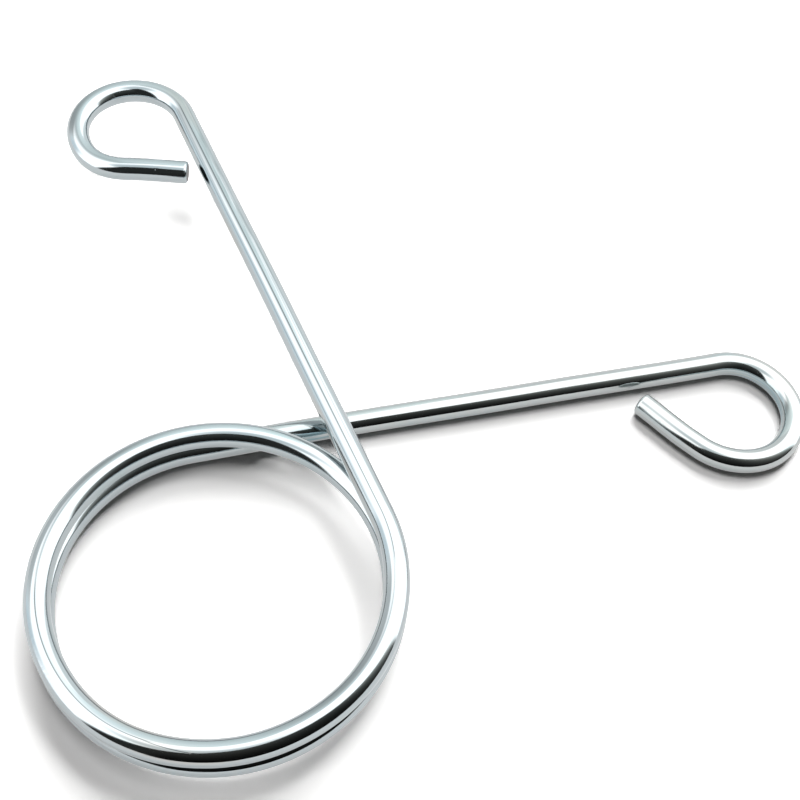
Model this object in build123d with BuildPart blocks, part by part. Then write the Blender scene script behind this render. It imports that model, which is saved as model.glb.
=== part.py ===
"""A right-hand torsion spring bent from one round steel wire.

The wire runs from the lower hook along the lower leg, winds into a close coil, leaves it
along the upper leg and ends in the upper hook.  Both legs leave the coil along its
tangents, and they cross one above the other just outside it.

Frame, in millimetres: the spring lies on z = 0, the origin is under the middle of the
coil, +X points along the lower leg, away from the coil, and +Z points up.
"""
import os
from math import atan2, cos, degrees, pi, radians, sin

from build123d import *

# Wire
WIRE_D = 3.0
END_ROUND = 0.4  # rollover that the shear leaves round each cut end

# Coil
COIL_INNER_D = 37.0  # room for the arbor
COIL_ANGLE = 640.8  # 1.78 turns, from one tangent point to the other
TURN_GAP = 0.05  # daylight between neighbouring turns

# Lower leg and hook, which lie on z = 0
LOWER_LEG = 68.5  # straight run from the coil to the bend
LOWER_BEND_R = 7.6  # to the middle of the wire
LOWER_BEND_ANGLE = 236.0
LOWER_TAIL = 9.5  # straight run from the bend to the cut end

# Upper leg and hook
UPPER_LEG = 67.0
UPPER_BEND_R = 7.3
UPPER_BEND_ANGLE = 243.3
UPPER_TAIL = 8.4

# Sizes that follow from those above
WIRE_R = WIRE_D / 2
COIL_R = (COIL_INNER_D + WIRE_D) / 2  # to the middle of the wire
PITCH = WIRE_D + TURN_GAP
COIL_RISE = PITCH * COIL_ANGLE / 360
LEAD_ANGLE = degrees(atan2(PITCH, 2 * pi * COIL_R))


def coil_point(angle: float) -> Vector:
    """Place on the middle line of the coil.

    Args:
        angle: degrees round the coil axis from the coil's lower end.
    """
    turn = radians(angle)
    return Vector(COIL_R * cos(turn), COIL_R * sin(turn), PITCH * angle / 360)


def coil_direction(angle: float) -> Vector:
    """Unit vector along the coil's middle line, counter-clockwise and upwards.

    Args:
        angle: degrees round the coil axis from the coil's lower end.
    """
    turn = radians(angle)
    lead = radians(LEAD_ANGLE)
    return Vector(-sin(turn) * cos(lead), cos(turn) * cos(lead), sin(lead))


def leg_plane(root: Vector, away: Vector) -> Plane:
    """Plane in which a leg and its hook are bent.

    Args:
        root: where the leg leaves the coil.
        away: unit vector along the leg, away from the coil.

    Returns:
        A plane with x along the leg and its normal as near upright as that allows.
    """
    left = Vector(0, 0, 1).cross(away).normalized()
    return Plane(origin=root, x_dir=away, z_dir=away.cross(left))


# The bent wire, about an upright coil axis and with the coil's lower end on +X
lower_plane = leg_plane(coil_point(0), coil_direction(0) * -1)
upper_plane = leg_plane(coil_point(COIL_ANGLE), coil_direction(COIL_ANGLE))

with BuildPart() as bent_wire:
    with BuildLine(lower_plane) as lower_line:
        lower_run = Line((0, 0), (LOWER_LEG, 0))
        lower_bend = JernArc(lower_run @ 1, lower_run % 1, LOWER_BEND_R, -LOWER_BEND_ANGLE)
        PolarLine(lower_bend @ 1, LOWER_TAIL, direction=lower_bend % 1)
    with BuildLine() as coil_line:
        Helix(PITCH, COIL_RISE, COIL_R)
    with BuildLine(upper_plane) as upper_line:
        upper_run = Line((0, 0), (UPPER_LEG, 0))
        upper_bend = JernArc(upper_run @ 1, upper_run % 1, UPPER_BEND_R, UPPER_BEND_ANGLE)
        PolarLine(upper_bend @ 1, UPPER_TAIL, direction=upper_bend % 1)
    with BuildLine() as wire_line:
        add(lower_line.line)
        add(coil_line.line)
        add(upper_line.line)
    route = wire_line.wire()
    with BuildSketch(Plane(origin=route @ 0, z_dir=route % 0)):
        Circle(WIRE_R)
    sweep(path=route)
    cut_ends = bent_wire.faces().filter_by(GeomType.PLANE)
    fillet(cut_ends.edges(), END_ROUND)

# The spring as it lies: the lower leg turned to +X, level, and down on z = 0
as_it_lies = Location((0, 0, WIRE_R), (0, -LEAD_ANGLE, 90))

with BuildPart() as torsion_spring:
    with Locations(as_it_lies):
        add(bent_wire.part)

torsion_spring.part.label = "torsion_spring"

os.makedirs("parts", exist_ok=True)
export_step(torsion_spring.part, "parts/torsion_spring.step")
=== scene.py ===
"""Looks of a torsion spring bent from one bright zinc-plated steel wire.

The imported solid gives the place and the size.  The wire is made again here as one fine
skin, carried along the same route as the solid with the small sets of one real wire, and
dressed in a bright zinc finish.  A studio round it holds a pale table, three soft lamps, a
white tent and cards that the bright metal mirrors, and the camera.

All places are in metres, in the frame of the solid: the spring lies on z = 0, the origin
is under the middle of the coil, and +X points along the lower leg, away from the coil.
"""
import logging
from dataclasses import dataclass, field
from enum import Enum
from math import atan2, cos, degrees, pi, radians, sin

import bpy
import numpy as np
from mathutils import Matrix, Vector


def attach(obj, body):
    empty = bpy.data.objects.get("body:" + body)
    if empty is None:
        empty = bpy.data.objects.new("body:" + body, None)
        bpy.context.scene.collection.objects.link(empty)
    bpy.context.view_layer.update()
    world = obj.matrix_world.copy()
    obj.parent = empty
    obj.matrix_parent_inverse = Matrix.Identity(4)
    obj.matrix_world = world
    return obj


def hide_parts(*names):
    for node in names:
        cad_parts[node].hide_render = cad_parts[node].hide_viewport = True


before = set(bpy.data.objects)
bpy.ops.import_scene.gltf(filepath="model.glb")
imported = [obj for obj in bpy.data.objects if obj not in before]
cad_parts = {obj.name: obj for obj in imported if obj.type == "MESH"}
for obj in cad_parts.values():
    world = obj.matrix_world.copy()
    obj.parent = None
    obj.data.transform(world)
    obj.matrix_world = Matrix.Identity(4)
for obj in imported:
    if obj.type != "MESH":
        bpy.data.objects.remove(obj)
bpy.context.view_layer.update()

log = logging.getLogger("torsion_spring")

MM = 0.001
PER_METRE = 1000.0  # mm in a metre
WIRE_RADIUS = 1.5  # mm
NODE = "torsion_spring"
BODY = "root"


# ---------------------------------------------------------------- nodes and colours


def linear(hex_colour: str) -> tuple[float, float, float, float]:
    """Turns an sRGB hex colour into linear red, green, blue and alpha.

    Args:
        hex_colour: six hex digits after a hash, such as "#c8ccd0".

    Returns:
        Linear values from 0 to 1, with an alpha of 1.
    """
    parts = [int(hex_colour[i : i + 2], 16) / 255 for i in (1, 3, 5)]
    flat = [p / 12.92 if p <= 0.04045 else ((p + 0.055) / 1.055) ** 2.4 for p in parts]
    return (*flat, 1.0)


def add_node(tree: bpy.types.NodeTree, kind: str, inputs: dict | None = None, **settings) -> bpy.types.Node:
    """Adds a node, sets it up and links it.

    Args:
        tree: the node tree that gets the node.
        kind: Blender's name for the node's type.
        inputs: socket name or number to a value, or to the output socket that feeds it.
        settings: the node's own properties.

    Returns:
        The new node.
    """
    node = tree.nodes.new(kind)
    for name, value in settings.items():
        setattr(node, name, value)
    for key, value in (inputs or {}).items():
        if isinstance(value, bpy.types.NodeSocket):
            tree.links.new(value, node.inputs[key])
        else:
            node.inputs[key].default_value = value
    return node


def soft_mask(
    tree: bpy.types.NodeTree, edges: list[tuple[bpy.types.NodeSocket, float, float]]
) -> bpy.types.NodeSocket:
    """Mask of the place that lies within some soft edges.

    Each edge is a smooth step of its value, from 0 at the first number to 1 at the
    second, and the mask is the product of the steps.

    Args:
        tree: the node tree that gets the nodes.
        edges: for each edge, the value that it steps on and its two numbers.

    Returns:
        Socket from 0 to 1.
    """
    mask = None
    for value, zero, one in edges:
        falls = float(zero > one)
        ends = {"From Min": min(zero, one), "From Max": max(zero, one), "To Min": falls, "To Max": 1 - falls}
        step = add_node(
            tree, "ShaderNodeMapRange", {"Value": value, **ends}, interpolation_type="SMOOTHSTEP"
        ).outputs["Result"]
        if mask is None:
            mask = step
        else:
            mask = add_node(tree, "ShaderNodeMath", {0: mask, 1: step}, operation="MULTIPLY").outputs[0]
    return mask


def grain(
    tree: bpy.types.NodeTree,
    place: bpy.types.NodeSocket,
    along_mm: float,
    across_mm: float,
    detail: float,
    seed: float = 0.0,
) -> bpy.types.NodeSocket:
    """Noise that is stretched along the wire.

    Args:
        tree: the material's tree.
        place: place along and across the wire, in metres.
        along_mm: size of a patch along the wire.
        across_mm: size of a patch across it.
        detail: octaves of finer noise.
        seed: moves the pattern along the wire.

    Returns:
        Socket with values round 0.5.
    """
    size = (PER_METRE / along_mm, PER_METRE / across_mm, PER_METRE / across_mm)
    fitted = add_node(
        tree, "ShaderNodeVectorMath", {0: place, 1: size, 2: (seed, 0, 0)}, operation="MULTIPLY_ADD"
    ).outputs[0]
    return add_node(
        tree, "ShaderNodeTexNoise", {"Vector": fitted, "Scale": 1.0, "Detail": detail}
    ).outputs["Fac"]


# ---------------------------------------------------------------- the bent wire


def place_along(line: np.ndarray) -> np.ndarray:
    """Each point's distance from the first one, added up along the line."""
    steps = np.linalg.norm(np.diff(line, axis=0), axis=1)
    return np.concatenate([[0.0], np.cumsum(steps)])


def across(slope: np.ndarray) -> tuple[np.ndarray, np.ndarray]:
    """Directions at right angles to a line.

    The first is level and to the right of the way along the line, and the second is at
    right angles to both, on the upper side.

    Args:
        slope: the line's own direction at each point, of any length.

    Returns:
        Unit vectors, level and upward.
    """
    along = slope / np.linalg.norm(slope, axis=1, keepdims=True)
    level = np.cross(along, [0.0, 0.0, 1.0])
    level /= np.linalg.norm(level, axis=1, keepdims=True)
    return level, np.cross(level, along)


@dataclass(frozen=True)
class Hook:
    """One leg and the hook at its end, in millimetres and degrees."""

    leg: float
    bend_radius: float
    bend_angle: float
    tail: float
    side: int  # +1 curls to the left of the way out along the leg, -1 to the right

    def middle_line(self, root: np.ndarray, away: np.ndarray, step: float) -> np.ndarray:
        """Middle line from the coil to the cut end.

        A straight run of the leg's length, then a circular arc that starts along the leg
        and turns to one side in the plane of the leg and its level normal, then a
        straight tail along the arc's last direction.

        Args:
            root: where the leg leaves the coil.
            away: unit vector along the leg.
            step: distance between points.

        Returns:
            One row for each point, the root first.
        """
        sideways = np.cross([0.0, 0.0, 1.0], away)
        sideways *= self.side / np.linalg.norm(sideways)
        turn = radians(self.bend_angle)
        run = np.linspace(0, self.leg, round(self.leg / step) + 1)[:, None]
        straight = root + run * away
        angles = np.linspace(0, turn, round(turn * self.bend_radius / step) + 1)[1:, None]
        arc = self.bend_radius * (np.sin(angles) * away + (1 - np.cos(angles)) * sideways)
        bend = straight[-1] + arc
        out = cos(turn) * away + sin(turn) * sideways
        end = np.linspace(0, self.tail, round(self.tail / step) + 1)[1:, None]
        return np.vstack([straight, bend, bend[-1] + end * out])


@dataclass(frozen=True)
class Sway:
    """A small set that the bending tools left in the wire, as a smooth bump, in millimetres."""

    place: float  # distance of its top from the lower cut end
    before: float  # reach towards the lower cut end
    after: float  # reach towards the upper one
    level: float  # to the right of the way along the wire
    up: float = 0.0

    def share(self, along: np.ndarray) -> np.ndarray:
        """How much of the bump each place has: a squared cosine that fades to 0 at its reach.

        Args:
            along: distances from the lower cut end.

        Returns:
            Shares from 0 to 1.
        """
        reach = np.where(along < self.place, self.before, self.after)
        return np.cos(np.clip(np.abs(along - self.place) / reach, 0, 1) * pi / 2) ** 2


@dataclass(frozen=True)
class Route:
    """The middle line of the whole wire, in millimetres and degrees."""

    wire_d: float = 3.0
    coil_inner_d: float = 37.0
    coil_angle: float = 640.8
    turn_gap: float = 0.05
    lower: Hook = Hook(leg=68.5, bend_radius=7.6, bend_angle=236.0, tail=9.5, side=-1)
    upper: Hook = Hook(leg=67.0, bend_radius=7.3, bend_angle=243.3, tail=8.4, side=1)
    step: float = 0.5
    sways: tuple[Sway, ...] = (
        Sway(place=6.5, before=6.0, after=5.0, level=0.17),
        Sway(place=14.0, before=4.5, after=6.0, level=-0.12),
        Sway(place=42.0, before=6.5, after=24.0, level=-0.18),
        Sway(place=92.0, before=26.0, after=20.0, level=0.17),
        Sway(place=282.0, before=12.0, after=12.0, level=0.15),
        Sway(place=314.0, before=13.0, after=13.0, level=0.15),
        Sway(place=369.0, before=18.0, after=16.0, level=0.06),
        Sway(place=409.0, before=10.0, after=11.0, level=-0.24),
        Sway(place=425.5, before=6.0, after=5.5, level=0.06, up=-0.28),
        Sway(place=434.5, before=5.5, after=14.0, level=-0.11, up=0.06),
    )

    def middle_line(self) -> np.ndarray:
        """Middle line from the lower cut end to the upper one, as the spring lies.

        The coil is a helix about an upright axis.  Both legs start at its ends, along its
        own direction there.  The whole line is then turned a quarter about the axis and
        tipped by the helix's lead angle, which lays the lower leg level and along +X.
        Last, each sway moves it a little to the side and up.

        Returns:
            One row for each point.
        """
        radius = (self.coil_inner_d + self.wire_d) / 2
        pitch = self.wire_d + self.turn_gap
        lead = atan2(pitch, 2 * pi * radius)
        turn = radians(self.coil_angle)
        angles = np.linspace(0, turn, round(turn * radius / self.step) + 1)
        rise = pitch * angles / (2 * pi)
        coil = np.stack([radius * np.cos(angles), radius * np.sin(angles), rise], axis=1)
        into = -np.array([0.0, cos(lead), sin(lead)])
        out_of = np.array([-sin(turn) * cos(lead), cos(turn) * cos(lead), sin(lead)])
        lower = self.lower.middle_line(coil[0], into, self.step)
        upper = self.upper.middle_line(coil[-1], out_of, self.step)
        line = np.vstack([lower[::-1], coil[1:], upper[1:]])
        lay = Matrix.Rotation(-lead, 3, "Y") @ Matrix.Rotation(pi / 2, 3, "Z")
        line = line @ np.array(lay).T + [0.0, 0.0, self.wire_d / 2]
        place = place_along(line)
        level, upward = across(np.gradient(line, place, axis=0))
        for sway in self.sways:
            share = sway.share(place)[:, None]
            line = line + share * (sway.level * level + sway.up * upward)
        return line


@dataclass
class BentWire:
    """The spring's one piece: a round wire with sheared ends."""

    route: Route = field(default_factory=Route)
    around: int = 72
    end_round: float = 0.4  # mm, rollover round each cut end
    end_rings: int = 8
    face_rings: int = 6
    face_reach: tuple[float, float] = (0.08, 0.9)  # share of the flat face at its first and last ring

    def skin(self) -> tuple[np.ndarray, np.ndarray, np.ndarray]:
        """Surface of the wire as rings of points.

        A point is the middle line plus the radius times the cosine of its angle along
        the upward normal plus the sine along the level normal.  At each cut end the
        radius follows a quarter circle down to the flat face, and the face closes on
        its middle.

        Returns:
            The points as rings by angle by three, each ring's distance along the wire,
            and each ring's radius, all in millimetres.
        """
        line = self.route.middle_line()
        radius = self.route.wire_d / 2
        place = place_along(line)
        length = place[-1]
        turn = np.linspace(0, pi / 2, self.end_rings)
        rim_place = self.end_round * (1 - np.sin(turn[::-1]))
        rim_radius = radius - self.end_round * (1 - np.cos(turn[::-1]))
        face_radius = (radius - self.end_round) * np.linspace(*self.face_reach, self.face_rings)
        inner = place[(place > self.end_round) & (place < length - self.end_round)]
        rings = np.concatenate(
            [
                np.zeros(self.face_rings),
                rim_place,
                inner,
                length - rim_place[::-1],
                np.full(self.face_rings, length),
            ]
        )
        radii = np.concatenate(
            [face_radius, rim_radius, np.full(len(inner), radius), rim_radius[::-1], face_radius[::-1]]
        )
        middle = np.stack([np.interp(rings, place, line[:, k]) for k in range(3)], axis=1)
        slope = np.gradient(line, place, axis=0)
        level, upward = across(np.stack([np.interp(rings, place, slope[:, k]) for k in range(3)], axis=1))
        angle = np.linspace(0, 2 * pi, self.around, endpoint=False)[None, :, None]
        ring = np.cos(angle) * upward[:, None] + np.sin(angle) * level[:, None]
        points = middle[:, None] + radii[:, None, None] * ring
        return points, rings, radii

    def build(self) -> bpy.types.Object:
        """Makes the wire's mesh, with its place along and across the wire as an attribute.

        Returns:
            The new object, at the origin.
        """
        points, rings, radii = self.skin()
        count, around = points.shape[:2]
        ends = points[[0, -1]].mean(axis=1)
        verts = np.vstack([points.reshape(-1, 3), ends]) * MM
        i, j = np.meshgrid(np.arange(count - 1), np.arange(around), indexing="ij")
        a = (i * around + j).ravel()
        b = (i * around + (j + 1) % around).ravel()
        quads = np.stack([a, b, b + around, a + around], axis=1)
        ring = np.arange(around)
        after = (ring + 1) % around
        start_pole = np.full(around, count * around)
        end_pole = start_pole + 1
        base = (count - 1) * around
        start_cap = np.stack([start_pole, after, ring], axis=1)
        end_cap = np.stack([end_pole, base + ring, base + after], axis=1)
        caps = np.vstack([start_cap, end_cap])
        mesh = bpy.data.meshes.new("bent_wire")
        mesh.from_pydata(verts.tolist(), [], quads.tolist() + caps.tolist())
        mesh.shade_smooth()
        angle = np.linspace(0, 2 * pi, around, endpoint=False)
        local = np.empty((count, around, 3))
        local[..., 0] = rings[:, None]
        local[..., 1] = radii[:, None] * np.sin(angle)
        local[..., 2] = radii[:, None] * np.cos(angle)
        poles = [[rings[0], 0.0, 0.0], [rings[-1], 0.0, 0.0]]
        local = np.vstack([local.reshape(-1, 3), poles]) * MM
        chart = mesh.attributes.new("wire_place", "FLOAT_VECTOR", "POINT")
        chart.data.foreach_set("vector", local.ravel())
        mesh.update()
        wire = bpy.data.objects.new("bent_wire", mesh)
        bpy.context.scene.collection.objects.link(wire)
        return wire

    def dress(self, wire: bpy.types.Object, finish: "BrightZinc") -> None:
        """Gives the wire its finish and ties it to the frame.

        Args:
            wire: the wire's object.
            finish: the finish that it gets.
        """
        wire.data.materials.append(finish.material())
        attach(wire, BODY)
        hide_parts(NODE)


@dataclass(frozen=True)
class DieLine:
    """A fine line that grit in the drawing die cut along the wire."""

    start: float  # mm from the lower cut end
    stop: float
    angle: float  # degrees from the wire's top, towards the right of the way along it
    drift: float  # degrees that it wanders to the right for each mm
    width: float  # mm
    depth: float  # mm
    dark: float  # how much of its colour it takes, from 0 to 1
    fade: float = 3.0  # mm over which it starts and ends
    core: float = 0.2  # share of its half width that is at full strength

    def mask(
        self, tree: bpy.types.NodeTree, along: bpy.types.NodeSocket, angle: bpy.types.NodeSocket
    ) -> bpy.types.NodeSocket:
        """Where the line runs.

        The mask falls from 1 to 0 with the angle's distance from the line's own angle,
        which grows with the distance along the wire, and fades out at both ends.

        Args:
            tree: the material's tree.
            along: millimetres along the wire.
            angle: degrees round it.

        Returns:
            Socket from 0 to 1.
        """
        first = self.angle - self.drift * self.start
        own = add_node(
            tree, "ShaderNodeMath", {0: along, 1: self.drift, 2: first}, operation="MULTIPLY_ADD"
        ).outputs[0]
        off = add_node(tree, "ShaderNodeMath", {0: angle, 1: own}, operation="SUBTRACT").outputs[0]
        off = add_node(tree, "ShaderNodeMath", {0: off}, operation="ABSOLUTE").outputs[0]
        half = degrees(self.width / WIRE_RADIUS)
        return soft_mask(
            tree,
            [
                (off, half, half * self.core),
                (along, self.start, self.start + self.fade),
                (along, self.stop, self.stop - self.fade),
            ],
        )


@dataclass(frozen=True)
class Mark:
    """A shallow oval mark that a bending tool or another spring left, a patch of tint, and in four places a
    patch of painted reflection.
    """

    place: float  # mm from the lower cut end
    angle: float  # degrees from the wire's top
    length: float  # mm along the wire
    width: float  # mm round the wire
    depth: float = 0.0  # mm, below 0 for a raised burr
    stain_and_painted_reflection: float = 0.0  # how much of its tone it takes, from 0 to 1: a real stain, and in four marks a painted reflection
    rough: float = 0.0  # what it adds to the roughness
    tone: str = "#3c4648"
    streak: float = 0.5  # mm, length of its specks along the wire
    speck: float = 0.4  # mm, size of its specks across the wire
    broken: tuple[float, float] = (0.4, 0.55)  # noise levels between which it comes in

    def mask(
        self, tree: bpy.types.NodeTree, along: bpy.types.NodeSocket, angle: bpy.types.NodeSocket
    ) -> bpy.types.NodeSocket:
        """Where the mark lies: 1 in its middle, and 0 from its oval edge outwards.

        Args:
            tree: the material's tree.
            along: millimetres along the wire.
            angle: degrees round it.

        Returns:
            Socket from 0 to 1.
        """
        lengthwise = 2 / self.length
        roundwise = 2 * radians(WIRE_RADIUS) / self.width
        off_place = -lengthwise * self.place
        off_angle = -roundwise * self.angle
        x = add_node(
            tree, "ShaderNodeMath", {0: along, 1: lengthwise, 2: off_place}, operation="MULTIPLY_ADD"
        ).outputs[0]
        y = add_node(
            tree, "ShaderNodeMath", {0: angle, 1: roundwise, 2: off_angle}, operation="MULTIPLY_ADD"
        ).outputs[0]
        both = add_node(tree, "ShaderNodeCombineXYZ", {0: x, 1: y}).outputs[0]
        far = add_node(tree, "ShaderNodeVectorMath", {0: both}, operation="LENGTH").outputs["Value"]
        return soft_mask(tree, [(far, 1.0, 0.0)])

    def specks(
        self, tree: bpy.types.NodeTree, place: bpy.types.NodeSocket, mask: bpy.types.NodeSocket
    ) -> bpy.types.NodeSocket:
        """The mask broken up into specks, or into streaks where they are long."""
        fine = grain(tree, place, along_mm=self.streak, across_mm=self.speck, detail=2.0, seed=3.0)
        broken = soft_mask(tree, [(fine, *self.broken)])
        return add_node(tree, "ShaderNodeMath", {0: mask, 1: broken}, operation="MULTIPLY").outputs[0]


@dataclass(frozen=True)
class BrightZinc:
    """Bright zinc plating over drawn steel wire, passivated clear blue.

    The plating is a true mirror a few thousandths of a millimetre thick, so the eye gets
    sharp bands of whatever stands round the wire.  A bluer tint painted over the coil and
    the upper leg, and darker blue-grey patches painted under the crook of the lower hook
    and under the lower leg by the crossing, stand in for the cyan of the shaded table that
    the metal mirrors.  Two small dents carry dark spots painted as reflections of the cut
    ends.  The plating levels the drawn steel under it but doesn't hide it: fine lines run
    along the wire, the bends carry tool marks, and the sheared ends are duller.
    """

    neutral: str = "#bfc4c4"
    # painted reflection: this bluer tint over the coil and the upper leg stands in for the cyan of the shaded
    # table that the metal mirrors
    blue: str = "#bdc5c8"
    cool: str = "#b7c3c5"
    warm: str = "#c3c4c2"
    line_colour: str = "#3c4648"
    shear_colour: str = "#8d9797"
    stain_colour: str = "#24282a"
    painted_blue_from: float = 88.0  # mm from the lower cut end
    painted_blue_full: float = 118.0
    roughness: float = 0.09
    uneven_roughness: float = 0.03  # how far the roughness wanders
    shear_roughness: float = 0.3
    shear_share: float = 0.35  # how much of its colour a sheared face takes
    face_edge: tuple[float, float] = (0.9, 0.7)  # shares of the radius where a sheared face starts
    cool_levels: tuple[float, float] = (0.56, 0.72)  # noise levels between which a cloud comes in
    warm_levels: tuple[float, float] = (0.6, 0.75)
    upper_from: float = 300.0  # mm, past which a sheared face is the upper one
    drawn_depth: float = 0.0012  # mm, height of the drawing lines
    waver_depth: float = 0.010  # mm, height of the wire's slow unevenness
    tear_depth: float = 0.03  # mm, height of the tears on the sheared faces
    lines: tuple[DieLine, ...] = (
        DieLine(262, 289, 0.0, 0.0, 0.075, 0.003, 0.75),
        DieLine(285, 294, -4.0, 3.4, 0.07, 0.002, 0.7),
        DieLine(325, 402, -9.0, -0.05, 0.075, 0.004, 0.8),
        DieLine(333, 402, -43.5, 0.03, 0.05, 0.003, 0.5),
        DieLine(341, 396, 11.0, 0.05, 0.09, 0.002, 0.3),
        DieLine(350, 402, 27.0, -0.03, 0.06, 0.002, 0.3),
        DieLine(-3, 9.5, -41.0, 1.0, 0.035, 0.0006, 0.28),
    )
    marks: tuple[Mark, ...] = (
        Mark(9.4, -22.0, 0.6, 0.9, depth=0.003, rough=0.05),
        Mark(10.6, 5.0, 0.4, 0.8, depth=0.004, stain_and_painted_reflection=0.15),
        Mark(3.0, 50.0, 9.0, 1.6, rough=0.06, stain_and_painted_reflection=0.15, tone="#7f8a8a"),
        # painted reflection: a dark blue-grey patch under the crook of the lower hook, for the shaded table
        # that the metal mirrors there
        Mark(29.0, -104.0, 36.0, 4.4, stain_and_painted_reflection=0.95, tone="#93acb4", streak=24.0),
        # a small dent with a painted reflection: the dark spot stands in for the lower cut end mirrored in
        # the leg
        Mark(53.0, -85.0, 1.2, 0.4, depth=0.006, stain_and_painted_reflection=0.4),
        # painted reflection: a dark blue-grey patch under the lower leg near the crossing, for the shaded
        # table that the metal mirrors
        Mark(94.0, -70.0, 13.0, 5.0, stain_and_painted_reflection=0.95, tone="#86a2aa", streak=9.0),
        Mark(228.0, -38.0, 1.6, 0.5, depth=0.005, stain_and_painted_reflection=0.3, rough=0.1),
        Mark(272.0, 45.0, 17.0, 1.4, rough=0.1, stain_and_painted_reflection=0.3, tone="#98a4ac"),
        Mark(292.0, 19.0, 2.6, 0.4, depth=-0.003, rough=0.3),
        Mark(383.0, 13.0, 62.0, 1.6, stain_and_painted_reflection=0.6, rough=0.03, tone="#8a9697", streak=7.0),
        # a small dent with a painted reflection: the dark spot stands in for the upper cut end mirrored in
        # the leg
        Mark(387.0, -60.0, 1.8, 0.45, depth=0.012, stain_and_painted_reflection=0.7),
        Mark(411.9, -54.0, 0.7, 0.5, depth=0.02, rough=0.2),
        Mark(435.3, 41.0, 1.1, 0.7, depth=0.01, rough=0.25),
    )

    def material(self) -> bpy.types.Material:
        """Builds the finish as a material that follows the wire.

        Every pattern reads the wire_place attribute: x is the distance along the wire,
        and y and z are the place across it, all in metres.
        """
        made = bpy.data.materials.new("bright_zinc_plating")
        made.use_nodes = True
        tree = made.node_tree
        shader = tree.nodes["Principled BSDF"]
        shader.inputs["Metallic"].default_value = 1.0
        place = add_node(tree, "ShaderNodeAttribute", attribute_name="wire_place").outputs["Vector"]
        parts = add_node(tree, "ShaderNodeSeparateXYZ", {0: place}).outputs
        along = add_node(
            tree, "ShaderNodeMath", {0: parts["X"], 1: PER_METRE}, operation="MULTIPLY"
        ).outputs[0]
        turn = add_node(
            tree, "ShaderNodeMath", {0: parts["Y"], 1: parts["Z"]}, operation="ARCTAN2"
        ).outputs[0]
        angle = add_node(tree, "ShaderNodeMath", {0: turn}, operation="DEGREES").outputs[0]

        # the sheared faces are the places well inside the wire's own radius
        spoke = add_node(
            tree, "ShaderNodeVectorMath", {0: place, 1: (0.0, 1.0, 1.0)}, operation="MULTIPLY"
        ).outputs[0]
        reach = add_node(tree, "ShaderNodeVectorMath", {0: spoke}, operation="LENGTH").outputs["Value"]
        rim = WIRE_RADIUS * MM
        face = soft_mask(tree, [(reach, *(share * rim for share in self.face_edge))])

        masks = [(line, line.mask(tree, along, angle)) for line in self.lines]
        ovals = [(mark, mark.mask(tree, along, angle)) for mark in self.marks]
        specks = [(mark, mark.specks(tree, place, oval)) for mark, oval in ovals]
        tree.links.new(self.colours(tree, place, along, face, masks, specks), shader.inputs["Base Color"])
        tree.links.new(self.roughnesses(tree, place, face, specks), shader.inputs["Roughness"])
        height = self.heights(tree, place, face, masks, ovals)
        bump = add_node(tree, "ShaderNodeBump", {"Strength": 1.0, "Distance": MM, "Height": height})
        tree.links.new(bump.outputs[0], shader.inputs["Normal"])
        return made

    def colours(
        self,
        tree: bpy.types.NodeTree,
        place: bpy.types.NodeSocket,
        along: bpy.types.NodeSocket,
        face: bpy.types.NodeSocket,
        lines: list[tuple[DieLine, bpy.types.NodeSocket]],
        specks: list[tuple[Mark, bpy.types.NodeSocket]],
    ) -> bpy.types.NodeSocket:
        """Colour of the plating, with its clouds, lines and stains, and with painted reflections: a bluer
        tint and darker patches.

        Args:
            tree: the material's tree.
            place: place along and across the wire, in metres.
            along: millimetres along the wire.
            face: mask of the sheared faces.
            lines: each die line with its mask.
            specks: each mark with its broken mask.

        Returns:
            Socket with the colour.
        """
        # clouds of the passivation, 12 mm along the wire by 2 mm, and 26 mm by 3 mm
        cloud = grain(tree, place, along_mm=12.0, across_mm=2.0, detail=3.0)
        other = grain(tree, place, along_mm=26.0, across_mm=3.0, detail=2.0, seed=7.3)
        layers = [
            # painted reflection: the bluer tint over the coil and the upper leg
            (soft_mask(tree, [(along, self.painted_blue_from, self.painted_blue_full)]), self.blue),
            (soft_mask(tree, [(cloud, *self.cool_levels)]), self.cool),
            (soft_mask(tree, [(other, *self.warm_levels)]), self.warm),
        ]
        for line, mask in lines:
            share = add_node(
                tree, "ShaderNodeMath", {0: mask, 1: line.dark}, operation="MULTIPLY"
            ).outputs[0]
            layers.append((share, self.line_colour))
        # the marks' tones: real stains, and painted reflections of the shaded table and of the cut ends
        for mark, mask in specks:
            if mark.stain_and_painted_reflection:
                share = add_node(
                    tree, "ShaderNodeMath", {0: mask, 1: mark.stain_and_painted_reflection}, operation="MULTIPLY"
                ).outputs[0]
                layers.append((share, mark.tone))
        share = add_node(
            tree, "ShaderNodeMath", {0: face, 1: self.shear_share}, operation="MULTIPLY"
        ).outputs[0]
        layers.append((share, self.shear_colour))
        # the upper cut face kept a dark stain where the bath didn't reach
        upper = soft_mask(tree, [(along, self.upper_from, self.upper_from + 1)])
        share = add_node(tree, "ShaderNodeMath", {0: face, 1: upper}, operation="MULTIPLY").outputs[0]
        layers.append((share, self.stain_colour))
        colour = linear(self.neutral)
        for share, tone in layers:
            colour = add_node(
                tree, "ShaderNodeMix", {0: share, 6: colour, 7: linear(tone)}, data_type="RGBA"
            ).outputs[2]
        return colour

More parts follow.
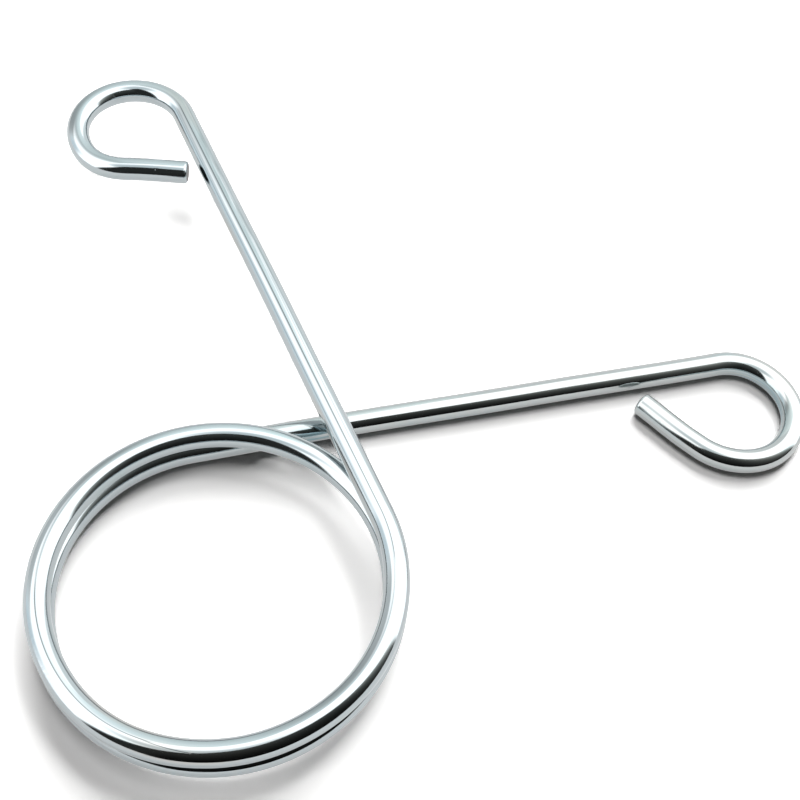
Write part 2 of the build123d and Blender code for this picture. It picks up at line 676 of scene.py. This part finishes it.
    def roughnesses(
        self,
        tree: bpy.types.NodeTree,
        place: bpy.types.NodeSocket,
        face: bpy.types.NodeSocket,
        specks: list[tuple[Mark, bpy.types.NodeSocket]],
    ) -> bpy.types.NodeSocket:
        """Roughness of the plating: a little uneven, and more in the scuffs and on the sheared faces.

        Args:
            tree: the material's tree.
            place: place along and across the wire, in metres.
            face: mask of the sheared faces.
            specks: each mark with its broken mask.

        Returns:
            Socket with the roughness.
        """
        uneven = grain(tree, place, along_mm=20.0, across_mm=0.4, detail=2.0, seed=9.1)
        shares = [(uneven, self.uneven_roughness), (face, self.shear_roughness - self.roughness)]
        shares += [(mask, mark.rough) for mark, mask in specks if mark.rough]
        rough = self.roughness - self.uneven_roughness / 2
        for mask, share in shares:
            rough = add_node(
                tree, "ShaderNodeMath", {0: mask, 1: share, 2: rough}, operation="MULTIPLY_ADD"
            ).outputs[0]
        return rough

    def heights(
        self,
        tree: bpy.types.NodeTree,
        place: bpy.types.NodeSocket,
        face: bpy.types.NodeSocket,
        lines: list[tuple[DieLine, bpy.types.NodeSocket]],
        ovals: list[tuple[Mark, bpy.types.NodeSocket]],
    ) -> bpy.types.NodeSocket:
        """Height of the surface, in millimetres.

        Args:
            tree: the material's tree.
            place: place along and across the wire, in metres.
            face: mask of the sheared faces.
            lines: each die line with its mask.
            ovals: each mark with its mask.

        Returns:
            Socket with the height.
        """
        # drawing lines under the plating: 0.12 mm across, coarser than real ones so that they
        # show, and 15 mm long before they fade
        drawn = grain(tree, place, along_mm=15.0, across_mm=0.12, detail=2.0, seed=2.1)
        # slow unevenness of the wire, which makes the mirrored edges waver: 5 mm by 2.4 mm
        waver = grain(tree, place, along_mm=5.0, across_mm=2.4, detail=1.0, seed=4.4)
        # tears 0.3 mm in size across the sheared faces
        tear = grain(tree, place, along_mm=1.0, across_mm=0.3, detail=3.0, seed=5.5)
        torn = add_node(tree, "ShaderNodeMath", {0: face, 1: tear}, operation="MULTIPLY").outputs[0]
        shares = [(drawn, self.drawn_depth), (waver, self.waver_depth), (torn, self.tear_depth)]
        shares += [(mask, -line.depth) for line, mask in lines]
        shares += [(mask, -mark.depth) for mark, mask in ovals if mark.depth]
        height = 0.0
        for mask, share in shares:
            height = add_node(
                tree, "ShaderNodeMath", {0: mask, 1: share, 2: height}, operation="MULTIPLY_ADD"
            ).outputs[0]
        return height


# ---------------------------------------------------------------- studio


class Side(Enum):
    """The camera's own directions over the table, as unit vectors."""

    AHEAD = (0.33256, 0.94308)
    RIGHT = (0.94308, -0.33256)


def over_table(right: float, ahead: float, up: float) -> Vector:
    """Place or direction given by how far it is to the camera's right, ahead and up."""
    ax, ay = Side.AHEAD.value
    rx, ry = Side.RIGHT.value
    return Vector((right * rx + ahead * ax, right * ry + ahead * ay, up))


def towards(azimuth: float, elevation: float) -> Vector:
    """Unit vector at degrees clockwise from straight ahead of the camera and above level."""
    a = radians(azimuth)
    e = radians(elevation)
    return over_table(sin(a) * cos(e), cos(a) * cos(e), sin(e))


@dataclass(frozen=True)
class Card:
    """An upright card with soft edges, standing on the table, that only the metal sees."""

    name: str
    start: tuple[float, float]  # right and ahead of the origin, in mm
    stop: tuple[float, float]
    heights: tuple[float, float]  # mm, at its start and at its stop
    soft: tuple[float, float, float]  # mm over which its start, stop and top fade
    tones: tuple[tuple[float, str], ...]  # share of its length to colour
    foot: float = 1.0  # how much of that colour's light it gives at its foot
    head: float = 1.0  # and at its top
    lean: float = 0.0  # how far its start leans out at the top, as a share of its length, or in below 0

    def build(self) -> None:
        """Makes the card, hidden from the camera, from shadows and from the table."""
        mesh = bpy.data.meshes.new(self.name)
        places = (self.start, self.stop)
        feet = [over_table(*place, 0.0) * MM for place in places]
        tops = [
            over_table(*place, high + self.soft[2]) * MM for place, high in zip(places, self.heights)
        ]
        mesh.from_pydata([feet[0], feet[1], tops[1], tops[0]], [], [(0, 1, 2, 3)])
        chart = mesh.uv_layers.new(name="card")
        chart.data.foreach_set("uv", [0, 0, 1, 0, 1, 1, 0, 1])
        card = bpy.data.objects.new(self.name, mesh)
        bpy.context.scene.collection.objects.link(card)
        card.visible_camera = False
        card.visible_shadow = False
        card.visible_diffuse = False
        mesh.materials.append(self.paper())

    def paper(self) -> bpy.types.Material:
        """Builds the card's plain glow, which fades out towards its edges."""
        made = bpy.data.materials.new(self.name)
        made.use_nodes = True
        tree = made.node_tree
        tree.nodes.remove(tree.nodes["Principled BSDF"])
        place = add_node(tree, "ShaderNodeUVMap", uv_map="card")
        parts = add_node(tree, "ShaderNodeSeparateXYZ", {0: place.outputs[0]}).outputs
        length = (Vector(self.stop) - Vector(self.start)).length
        leaning = add_node(
            tree, "ShaderNodeMath", {0: parts["Y"], 1: self.lean, 2: parts["X"]}, operation="MULTIPLY_ADD"
        ).outputs[0]
        tall = max(self.heights) + self.soft[2]
        share = soft_mask(
            tree,
            [
                (leaning, 0.0, 2 * self.soft[0] / length),
                (parts["X"], 1.0, 1 - 2 * self.soft[1] / length),
                (parts["Y"], 1.0, 1 - 2 * self.soft[2] / tall),
            ],
        )
        ramp = add_node(tree, "ShaderNodeValToRGB", {0: parts["X"]})
        for index, (at, tone) in enumerate(self.tones):
            stop = ramp.color_ramp.elements[index] if index < 2 else ramp.color_ramp.elements.new(at)
            stop.position = at
            stop.color = linear(tone)
        light = add_node(
            tree, "ShaderNodeMapRange", {"Value": parts["Y"], "To Min": self.foot, "To Max": self.head}
        ).outputs["Result"]
        glow = add_node(tree, "ShaderNodeEmission", {"Color": ramp.outputs[0], "Strength": light})
        clear = add_node(tree, "ShaderNodeBsdfTransparent")
        mixed = add_node(tree, "ShaderNodeMixShader", {0: share, 1: clear.outputs[0], 2: glow.outputs[0]})
        tree.links.new(mixed.outputs[0], tree.nodes["Material Output"].inputs["Surface"])
        return made


@dataclass(frozen=True)
class Edge:
    """A straight soft edge of a zone of the surroundings.

    The zone is on the side of `azimuth` and `elevation`: a direction is in it where its
    dot product with that one is over the sine of `offset`.
    """

    azimuth: float
    elevation: float
    offset: float  # degrees
    soft: float  # degrees on each side of it over which the zone fades


@dataclass(frozen=True)
class Zone:
    """A zone of the surroundings, far off, that the metal mirrors."""

    name: str
    edges: tuple[Edge, ...]
    left: tuple[float, float, float]  # its light at the camera's left
    right: tuple[float, float, float]  # and at the right
    spread: tuple[float, float] = (-0.8, 0.7)  # how far left and right, of 1, its light changes

    def lay(
        self, tree: bpy.types.NodeTree, way: bpy.types.NodeSocket, under: bpy.types.NodeSocket
    ) -> bpy.types.NodeSocket:
        """Lays the zone over the colours under it.

        Its share is the product of one smooth step for each edge, and its light goes
        evenly from left to right.

        Args:
            tree: the world's tree.
            way: the direction that is looked in.
            under: the colours that it covers.

        Returns:
            The colours with the zone over them.
        """
        edges = []
        for edge in self.edges:
            aim = towards(edge.azimuth, edge.elevation)
            near = add_node(tree, "ShaderNodeVectorMath", {0: way, 1: aim}, operation="DOT_PRODUCT")
            low, high = (sin(radians(edge.offset + side * edge.soft)) for side in (-1, 1))
            edges.append((near.outputs["Value"], low, high))
        share = soft_mask(tree, edges)
        sideways = add_node(
            tree, "ShaderNodeVectorMath", {0: way, 1: towards(90, 0)}, operation="DOT_PRODUCT"
        ).outputs["Value"]
        start, stop = self.spread
        reach = add_node(
            tree, "ShaderNodeMapRange", {"Value": sideways, "From Min": start, "From Max": stop}
        ).outputs["Result"]
        light = add_node(
            tree, "ShaderNodeMix", {0: reach, 6: (*self.left, 1), 7: (*self.right, 1)}, data_type="RGBA"
        ).outputs[2]
        return add_node(tree, "ShaderNodeMix", {0: share, 6: under, 7: light}, data_type="RGBA").outputs[2]


@dataclass(frozen=True)
class Softbox:
    """A lamp that lights the table and casts the spring's shadow."""

    name: str
    azimuth: float
    elevation: float
    half_angle: float  # degrees
    share: float  # of the light on the open table

    def build(self) -> None:
        """Makes the lamp, which the metal doesn't mirror, because the surroundings hold it."""
        data = bpy.data.lights.new(self.name, "SUN")
        data.energy = self.share * pi / sin(radians(self.elevation))
        data.angle = radians(2 * self.half_angle)
        lamp = bpy.data.objects.new(self.name, data)
        lamp.rotation_euler = towards(self.azimuth, self.elevation).to_track_quat("Z", "Y").to_euler()
        lamp.visible_glossy = False
        bpy.context.scene.collection.objects.link(lamp)


@dataclass
class Studio:
    """Table, lamps, surroundings, cards and camera."""

    table_size: float = 4.0  # metres
    table_tone: str = "#fdfcfb"
    fill: float = 0.05  # plain light from all round on the table
    lens: float = 62.234  # mm, on a sensor 36 mm wide
    camera_place: tuple[float, float, float] = (-5.974, -70.181, 146.529)  # mm
    camera_ahead: tuple[float, float, float] = (0.18635853, 0.5284781, -0.82823994)
    camera_up: tuple[float, float, float] = (0.16006629, 0.81541313, 0.55630945)
    table_gain: float = 1.72  # what the camera sees of the table's light
    mirrored_gain: float = 1.01  # light of the table's glow in the metal
    mirrored_glow: float = 0.55  # share of that glow in what the metal mirrors of the table
    bounce: float = 0.3  # what the table gives back of light that has already left it once
    overhead: float = 2.1  # light of the white tent, which holds the lamps
    softboxes: tuple[Softbox, ...] = (
        Softbox("small_overhead_lamp", -56, 82, 12, 0.21),
        Softbox("big_back_lamp", 8, 30, 30, 0.61),
        Softbox("right_back_lamp", 33, 61, 6, 0.13),
    )
    zones: tuple[Zone, ...] = (
        Zone("left_front_haze", (Edge(-148, 72, 76, 9),), (0.86, 0.93, 0.96), (0.86, 0.93, 0.96)),
        Zone(
            "back_wall",
            (Edge(-30, -47, 0, 4), Edge(9, 0, 0, 18), Edge(-37, 0, 0, 2)),
            (0.75, 0.77, 0.77),
            (1.16, 1.2, 1.2),
        ),
        Zone(
            "left_window_light",
            (Edge(-165, 0, 0, 6), Edge(-6, 0, 0, 8), Edge(0, -90, -31, 10)),
            (0.96, 1.07, 1.13),
            (0.96, 1.07, 1.13),
        ),
    )
    cards: tuple[Card, ...] = (
        Card(
            "left_grey_card",
            (-130, 87),
            (13, 224),
            (325, 240),
            (44, 3, 45),
            ((0.07, "#050505"), (0.5, "#e0e9e9"), (1.0, "#f0f9f9")),
            foot=1.0,
            head=1.9,
        ),
        Card(
            "far_black_card",
            (-590, -355),
            (60, -665),
            (1400, 1400),
            (53, 10, 60),
            ((0.0, "#323332"), (1.0, "#323332")),
            lean=-0.5,
        ),
        Card(
            "front_black_card",
            (-43, -94),
            (458, 68),
            (263, 302),
            (13, 95, 3),
            ((0.0, "#282928"), (0.25, "#313231"), (0.7, "#8c8d8a"), (1.0, "#8c8d8a")),
            foot=0.0,
            head=4.3,
        ),
    )

    def build(self) -> None:
        """Builds the whole studio."""
        self.table()
        self.surroundings()
        for box in self.softboxes:
            box.build()
        for card in self.cards:
            card.build()
            log.info("card: %s", card.name)
        self.camera()
        bpy.context.scene.view_settings.view_transform = "Standard"

    def table(self) -> None:
        """A pale table that is white to the camera and keeps the spring's shadow.

        A second diffuse layer gives the camera back more light than falls on the table.
        What the metal mirrors is part diffuse and part plain glow, so that its underside
        shows the pale table too.  What the wire throws back on the table counts little.
        """
        half = self.table_size / 2
        corners = [(-half, -half, 0), (half, -half, 0), (half, half, 0), (-half, half, 0)]
        mesh = bpy.data.meshes.new("table")
        mesh.from_pydata(corners, [], [(0, 1, 2, 3)])
        table = bpy.data.objects.new("table", mesh)
        bpy.context.scene.collection.objects.link(table)
        made = bpy.data.materials.new("pale_table")
        made.use_nodes = True
        tree = made.node_tree
        tree.nodes.remove(tree.nodes["Principled BSDF"])
        path = add_node(tree, "ShaderNodeLightPath").outputs
        plain = add_node(tree, "ShaderNodeBsdfDiffuse", {"Color": linear(self.table_tone)}).outputs[0]
        more = (self.table_gain - 1,) * 3 + (1,)
        extra = add_node(tree, "ShaderNodeBsdfDiffuse", {"Color": more}).outputs[0]
        bright = add_node(tree, "ShaderNodeAddShader", {0: plain, 1: extra}).outputs[0]
        glow = add_node(tree, "ShaderNodeEmission", {"Strength": self.mirrored_gain}).outputs[0]
        mirrored = add_node(
            tree, "ShaderNodeMixShader", {0: self.mirrored_glow, 1: plain, 2: glow}
        ).outputs[0]
        dim = add_node(tree, "ShaderNodeBsdfDiffuse", {"Color": (self.bounce,) * 3 + (1,)}).outputs[0]
        glass = path["Is Transmission Ray"]
        gloss = add_node(
            tree, "ShaderNodeMath", {0: path["Is Glossy Ray"], 1: glass}, operation="MAXIMUM"
        ).outputs[0]
        later = add_node(
            tree, "ShaderNodeMath", {0: path["Diffuse Depth"], 1: 0.5}, operation="GREATER_THAN"
        ).outputs[0]
        surface = plain
        for share, layer in ((path["Is Camera Ray"], bright), (gloss, mirrored), (later, dim)):
            surface = add_node(tree, "ShaderNodeMixShader", {0: share, 1: surface, 2: layer}).outputs[0]
        tree.links.new(surface, tree.nodes["Material Output"].inputs["Surface"])
        mesh.materials.append(made)

    def surroundings(self) -> None:
        """A white tent with darker zones for the metal, white for the camera, and plain fill for the rest."""
        world = bpy.data.worlds.new("studio")
        bpy.context.scene.world = world
        world.use_nodes = True
        tree = world.node_tree
        fill = tree.nodes["Background"]
        fill.inputs["Color"].default_value = (1, 1, 1, 1)
        fill.inputs["Strength"].default_value = self.fill
        way = add_node(tree, "ShaderNodeTexCoord").outputs["Generated"]
        bright = dict.fromkeys(range(3), self.overhead)
        colour = add_node(tree, "ShaderNodeCombineColor", bright).outputs[0]
        for zone in self.zones:
            colour = zone.lay(tree, way, colour)
        tent = add_node(tree, "ShaderNodeBackground", {"Color": colour}).outputs[0]
        clear = add_node(tree, "ShaderNodeBackground", {"Color": (1, 1, 1, 1)}).outputs[0]
        path = add_node(tree, "ShaderNodeLightPath").outputs
        glass = path["Is Transmission Ray"]
        seen = add_node(
            tree, "ShaderNodeMath", {0: path["Is Camera Ray"], 1: glass}, operation="MAXIMUM"
        ).outputs[0]
        # light that the wire throws on the table would come out as noise, so that path gets the fill
        first = add_node(
            tree, "ShaderNodeMath", {0: path["Diffuse Depth"], 1: 0.5}, operation="LESS_THAN"
        ).outputs[0]
        mirrored = add_node(
            tree, "ShaderNodeMath", {0: path["Is Glossy Ray"], 1: first}, operation="MULTIPLY"
        ).outputs[0]
        air = fill.outputs[0]
        for share, layer in ((seen, clear), (mirrored, tent)):
            air = add_node(tree, "ShaderNodeMixShader", {0: share, 1: air, 2: layer}).outputs[0]
        tree.links.new(air, tree.nodes["World Output"].inputs["Surface"])

    def camera(self) -> None:
        """A close view from above, over the front of the coil."""
        data = bpy.data.cameras.new("camera")
        data.lens = self.lens
        data.sensor_width = 36.0
        data.clip_start = 0.01
        camera = bpy.data.objects.new("camera", data)
        ahead = Vector(self.camera_ahead)
        up = Vector(self.camera_up)
        right = ahead.cross(up).normalized()
        up = right.cross(ahead).normalized()
        turn = Matrix((right, up, -ahead.normalized())).transposed()
        place = Vector(self.camera_place) * MM
        camera.matrix_world = Matrix.Translation(place) @ turn.to_4x4()
        bpy.context.scene.collection.objects.link(camera)
        bpy.context.scene.camera = camera


def main() -> None:
    """Builds the spring and the studio."""
    logging.basicConfig(level=logging.INFO, format="%(message)s")
    spring = BentWire()
    wire = spring.build()
    spring.dress(wire, BrightZinc())
    log.info("%s: %d faces", wire.name, len(wire.data.polygons))
    Studio().build()


if __name__ == "__main__":
    main()
